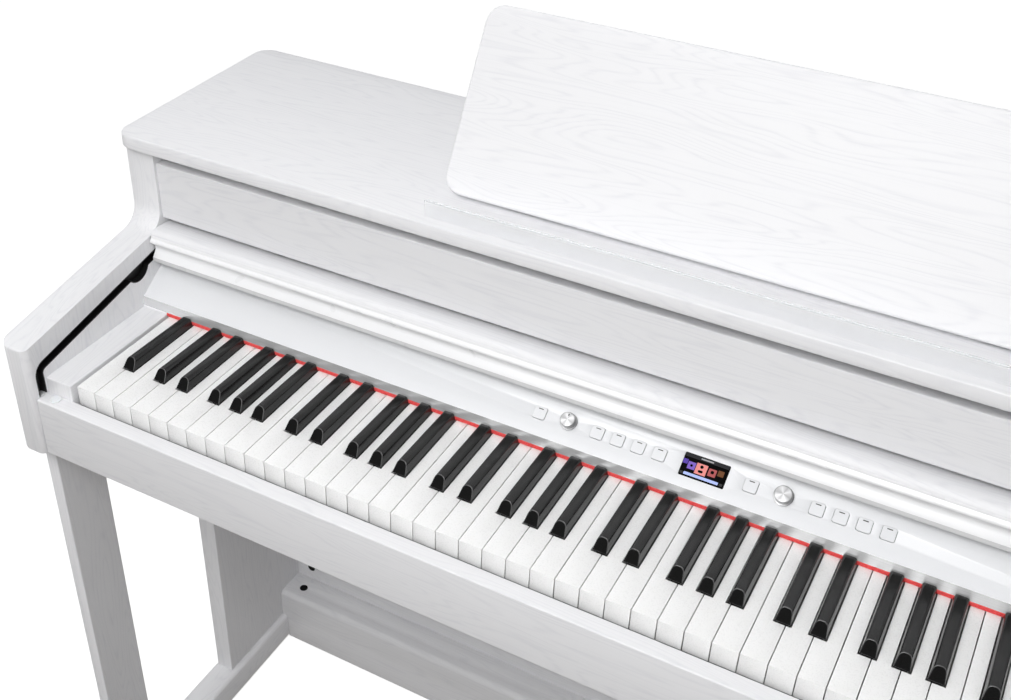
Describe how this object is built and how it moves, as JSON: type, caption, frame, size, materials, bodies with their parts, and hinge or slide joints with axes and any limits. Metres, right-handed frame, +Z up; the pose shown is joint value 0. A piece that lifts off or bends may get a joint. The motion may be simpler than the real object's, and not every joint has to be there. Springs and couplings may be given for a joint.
{
  "type": "digital piano on stand",
  "caption": "Console digital piano with a full-width keyboard, sliding fallboard, sloped control panel, folding music desk and a stand with pedals.",
  "frame": {"origin": "on the floor, at the centre of the outline seen from above", "axes": "+Z up; the player sits on the -Y side and faces +Y; +X runs from the bass keys to the treble keys"},
  "size_m": [1.37, 0.4754, 1.0964],
  "materials": {
    "white_wood": "white foil with a fine open wood grain",
    "moulding_white": "smooth white lacquer",
    "back_board": "plain white hardboard",
    "black_plastic": "satin",
    "bumper_white": "soft white",
    "red_felt": "wool felt",
    "panel_silver": "silver white with a soft sheen",
    "button_silver": "satin",
    "screen": "dark display window",
    "clear_acrylic": "clear polished acrylic",
    "steel": "plain steel",
    "speaker_black": "satin",
    "circuit": "solder mask",
    "glide_rubber": "matt",
    "black_steel": "black oxide",
    "knob_metal": "spun and polished",
    "key_white": "semi-gloss",
    "key_black": "satin",
    "pedal_brass": "polished"
  },
  "bodies": {
    "cabinet": {"side_panel_left": "white_wood", "side_panel_right": "white_wood", "fallboard_tracks": "black_plastic", "key_blocks": "white_wood", "key_bed": "white_wood", "key_slip": "white_wood", "slip_bumpers": "bumper_white", "key_felt": "red_felt", "control_panel": "panel_silver", "display_screen": "screen", "front_board": "white_wood", "top_board": "white_wood", "book_stop": "clear_acrylic", "desk_hinges": "steel", "back_panel": "back_board", "stand_panels": "white_wood", "front_legs": "white_wood", "foot_bars": "white_wood", "pedal_box": "white_wood", "lower_back_board": "white_wood", "speakers": "speaker_black", "circuit_board": "circuit", "power_inlet": "black_plastic", "glides": "glide_rubber", "key_frame": "steel", "fasteners": "black_steel"},
    "fallboard": {"fallboard_moulding": "moulding_white", "fallboard_board": "white_wood", "fallboard_pins": "steel"},
    "desk": {"music_desk": "white_wood", "desk_leaves": "steel"},
    "volume": {"volume_knob": "knob_metal"},
    "dial": {"data_dial": "knob_metal"},
    "pedal_left_body": {"pedal_left": "pedal_brass"},
    "pedal_middle_body": {"pedal_middle": "pedal_brass"},
    "pedal_right_body": {"pedal_right": "pedal_brass"},
    "button_1_body": {"button_1": "button_silver"},
    "button_2_body": {"button_2": "button_silver"},
    "button_3_body": {"button_3": "button_silver"},
    "button_4_body": {"button_4": "button_silver"},
    "button_5_body": {"button_5": "button_silver"},
    "button_6_body": {"button_6": "button_silver"},
    "button_7_body": {"button_7": "button_silver"},
    "button_8_body": {"button_8": "button_silver"},
    "button_9_body": {"button_9": "button_silver"},
    "button_10_body": {"button_10": "button_silver"},
    "key_c4_body": {"key_c4": "key_white"},
    "key_d4_body": {"key_d4": "key_white"},
    "key_e4_body": {"key_e4": "key_white"},
    "key_f4_body": {"key_f4": "key_white"},
    "key_g4_body": {"key_g4": "key_white"},
    "key_a4_body": {"key_a4": "key_white"},
    "key_b4_body": {"key_b4": "key_white"},
    "key_c_sharp4_body": {"key_c_sharp4": "key_black"},
    "key_d_sharp4_body": {"key_d_sharp4": "key_black"},
    "key_f_sharp4_body": {"key_f_sharp4": "key_black"},
    "key_g_sharp4_body": {"key_g_sharp4": "key_black"},
    "key_a_sharp4_body": {"key_a_sharp4": "key_black"},
    "white_keys_body": {"white_keys": "key_white"},
    "black_keys_body": {"black_keys": "key_black"}
  },
  "joints": [
    {"name": "fallboard_slide", "type": "slide", "parent": "cabinet", "child": "fallboard", "axis": [0, -0.9796, -0.2011], "range_m": [0, 0.19]},
    {"name": "desk_fold", "type": "hinge", "parent": "cabinet", "child": "desk", "pos_m": [0, 0.04105, 0.9321], "axis": [-1, 0, 0], "range_deg": [0, 59.5]},
    {"name": "volume_turn", "type": "hinge", "parent": "cabinet", "child": "volume", "pos_m": [-0.137, -0.04116, 0.7622], "axis": [0, -0.5599, 0.8285], "range_deg": [-140, 140]},
    {"name": "dial_turn", "type": "hinge", "parent": "cabinet", "child": "dial", "pos_m": [0.074, -0.04116, 0.7622], "axis": [0, -0.5599, 0.8285], "continuous": true},
    {"name": "pedal_left_press", "type": "hinge", "parent": "cabinet", "child": "pedal_left_body", "pos_m": [-0.075, 0.17025, 0.043], "axis": [1, 0, 0], "range_deg": [0, 7], "stiffness_Nm_per_rad": 12, "springref_deg": -6.88},
    {"name": "pedal_middle_press", "type": "hinge", "parent": "cabinet", "child": "pedal_middle_body", "pos_m": [0, 0.17025, 0.043], "axis": [1, 0, 0], "range_deg": [0, 7], "stiffness_Nm_per_rad": 12, "springref_deg": -6.88},
    {"name": "pedal_right_press", "type": "hinge", "parent": "cabinet", "child": "pedal_right_body", "pos_m": [0.075, 0.17025, 0.043], "axis": [1, 0, 0], "range_deg": [0, 7], "stiffness_Nm_per_rad": 12, "springref_deg": -6.88},
    {"name": "button_1_press", "type": "slide", "parent": "cabinet", "child": "button_1_body", "axis": [0, 0.5599, -0.8285], "range_m": [0, 0.001], "stiffness_N_per_m": 250, "springref_m": -0.001},
    {"name": "button_2_press", "type": "slide", "parent": "cabinet", "child": "button_2_body", "axis": [0, 0.5599, -0.8285], "range_m": [0, 0.001], "stiffness_N_per_m": 250, "springref_m": -0.001},
    {"name": "button_3_press", "type": "slide", "parent": "cabinet", "child": "button_3_body", "axis": [0, 0.5599, -0.8285], "range_m": [0, 0.001], "stiffness_N_per_m": 250, "springref_m": -0.001},
    {"name": "button_4_press", "type": "slide", "parent": "cabinet", "child": "button_4_body", "axis": [0, 0.5599, -0.8285], "range_m": [0, 0.001], "stiffness_N_per_m": 250, "springref_m": -0.001},
    {"name": "button_5_press", "type": "slide", "parent": "cabinet", "child": "button_5_body", "axis": [0, 0.5599, -0.8285], "range_m": [0, 0.001], "stiffness_N_per_m": 250, "springref_m": -0.001},
    {"name": "button_6_press", "type": "slide", "parent": "cabinet", "child": "button_6_body", "axis": [0, 0.5599, -0.8285], "range_m": [0, 0.001], "stiffness_N_per_m": 250, "springref_m": -0.001},
    {"name": "button_7_press", "type": "slide", "parent": "cabinet", "child": "button_7_body", "axis": [0, 0.5599, -0.8285], "range_m": [0, 0.001], "stiffness_N_per_m": 250, "springref_m": -0.001},
    {"name": "button_8_press", "type": "slide", "parent": "cabinet", "child": "button_8_body", "axis": [0, 0.5599, -0.8285], "range_m": [0, 0.001], "stiffness_N_per_m": 250, "springref_m": -0.001},
    {"name": "button_9_press", "type": "slide", "parent": "cabinet", "child": "button_9_body", "axis": [0, 0.5599, -0.8285], "range_m": [0, 0.001], "stiffness_N_per_m": 250, "springref_m": -0.001},
    {"name": "button_10_press", "type": "slide", "parent": "cabinet", "child": "button_10_body", "axis": [0, 0.5599, -0.8285], "range_m": [0, 0.001], "stiffness_N_per_m": 250, "springref_m": -0.001},
    {"name": "key_c4_press", "type": "hinge", "parent": "cabinet", "child": "key_c4_body", "pos_m": [0, 0.01225, 0.721], "axis": [1, 0, 0], "range_deg": [0, 2.5], "stiffness_Nm_per_rad": 1.6, "springref_deg": -6.88},
    {"name": "key_d4_press", "type": "hinge", "parent": "cabinet", "child": "key_d4_body", "pos_m": [0, 0.01225, 0.721], "axis": [1, 0, 0], "range_deg": [0, 2.5], "stiffness_Nm_per_rad": 1.6, "springref_deg": -6.88},
    {"name": "key_e4_press", "type": "hinge", "parent": "cabinet", "child": "key_e4_body", "pos_m": [0, 0.01225, 0.721], "axis": [1, 0, 0], "range_deg": [0, 2.5], "stiffness_Nm_per_rad": 1.6, "springref_deg": -6.88},
    {"name": "key_f4_press", "type": "hinge", "parent": "cabinet", "child": "key_f4_body", "pos_m": [0, 0.01225, 0.721], "axis": [1, 0, 0], "range_deg": [0, 2.5], "stiffness_Nm_per_rad": 1.6, "springref_deg": -6.88},
    {"name": "key_g4_press", "type": "hinge", "parent": "cabinet", "child": "key_g4_body", "pos_m": [0, 0.01225, 0.721], "axis": [1, 0, 0], "range_deg": [0, 2.5], "stiffness_Nm_per_rad": 1.6, "springref_deg": -6.88},
    {"name": "key_a4_press", "type": "hinge", "parent": "cabinet", "child": "key_a4_body", "pos_m": [0, 0.01225, 0.721], "axis": [1, 0, 0], "range_deg": [0, 2.5], "stiffness_Nm_per_rad": 1.6, "springref_deg": -6.88},
    {"name": "key_b4_press", "type": "hinge", "parent": "cabinet", "child": "key_b4_body", "pos_m": [0, 0.01225, 0.721], "axis": [1, 0, 0], "range_deg": [0, 2.5], "stiffness_Nm_per_rad": 1.6, "springref_deg": -6.88},
    {"name": "key_c_sharp4_press", "type": "hinge", "parent": "cabinet", "child": "key_c_sharp4_body", "pos_m": [0, 0.01225, 0.721], "axis": [1, 0, 0], "range_deg": [0, 2.5], "stiffness_Nm_per_rad": 1.6, "springref_deg": -6.88},
    {"name": "key_d_sharp4_press", "type": "hinge", "parent": "cabinet", "child": "key_d_sharp4_body", "pos_m": [0, 0.01225, 0.721], "axis": [1, 0, 0], "range_deg": [0, 2.5], "stiffness_Nm_per_rad": 1.6, "springref_deg": -6.88},
    {"name": "key_f_sharp4_press", "type": "hinge", "parent": "cabinet", "child": "key_f_sharp4_body", "pos_m": [0, 0.01225, 0.721], "axis": [1, 0, 0], "range_deg": [0, 2.5], "stiffness_Nm_per_rad": 1.6, "springref_deg": -6.88},
    {"name": "key_g_sharp4_press", "type": "hinge", "parent": "cabinet", "child": "key_g_sharp4_body", "pos_m": [0, 0.01225, 0.721], "axis": [1, 0, 0], "range_deg": [0, 2.5], "stiffness_Nm_per_rad": 1.6, "springref_deg": -6.88},
    {"name": "key_a_sharp4_press", "type": "hinge", "parent": "cabinet", "child": "key_a_sharp4_body", "pos_m": [0, 0.01225, 0.721], "axis": [1, 0, 0], "range_deg": [0, 2.5], "stiffness_Nm_per_rad": 1.6, "springref_deg": -6.88},
    {"name": "white_keys_press", "type": "hinge", "parent": "cabinet", "child": "white_keys_body", "pos_m": [0, 0.01225, 0.721], "axis": [1, 0, 0], "range_deg": [0, 2.5], "stiffness_Nm_per_rad": 72, "springref_deg": -6.88},
    {"name": "black_keys_press", "type": "hinge", "parent": "cabinet", "child": "black_keys_body", "pos_m": [0, 0.01225, 0.721], "axis": [1, 0, 0], "range_deg": [0, 2.5], "stiffness_Nm_per_rad": 49.6, "springref_deg": -6.88}
  ]
}
